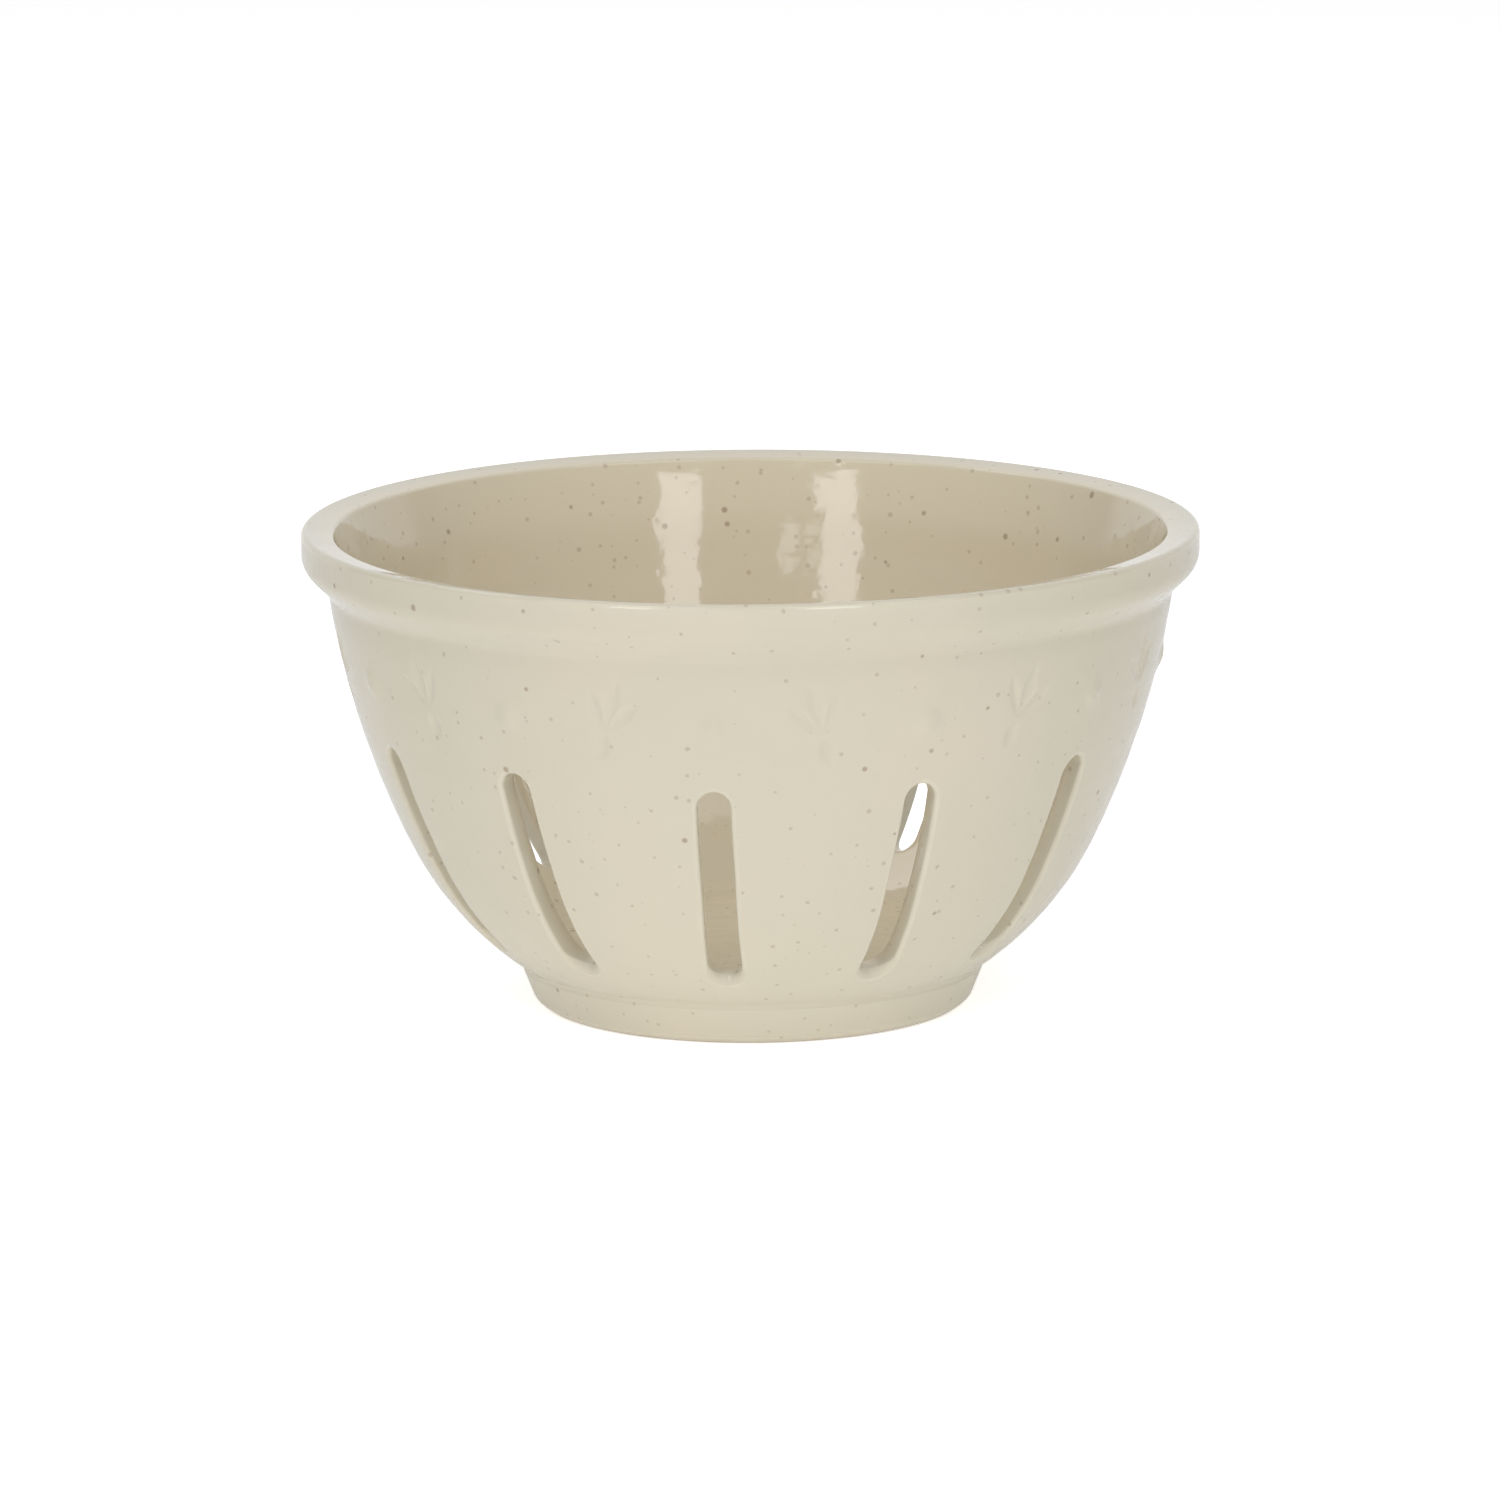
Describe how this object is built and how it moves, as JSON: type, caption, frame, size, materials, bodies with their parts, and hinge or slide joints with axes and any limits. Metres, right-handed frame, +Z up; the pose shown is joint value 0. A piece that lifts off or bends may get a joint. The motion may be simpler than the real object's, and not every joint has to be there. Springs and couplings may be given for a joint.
{
  "type": "berry colander bowl",
  "caption": "Footed round stoneware bowl with a thick rolled rim, upright drain slots round the wall, leaf prints and raised clay dots.",
  "frame": {"origin": "centre of the foot ring's resting face, on the bowl's axis and in the plane of the table", "axes": "+Z up through the mouth; one drain slot faces -Y and the others follow every 30 degrees"},
  "size_m": [0.16, 0.16, 0.086],
  "materials": {
    "glaze": "glossy speckled cream glaze over buff stoneware"
  },
  "bodies": {
    "root": {"foot_ring": "glaze", "bowl_floor": "glaze", "drain_wall": "glaze", "print_band": "glaze", "rim_collar": "glaze", "clay_dots": "glaze"}
  },
  "joints": []
}
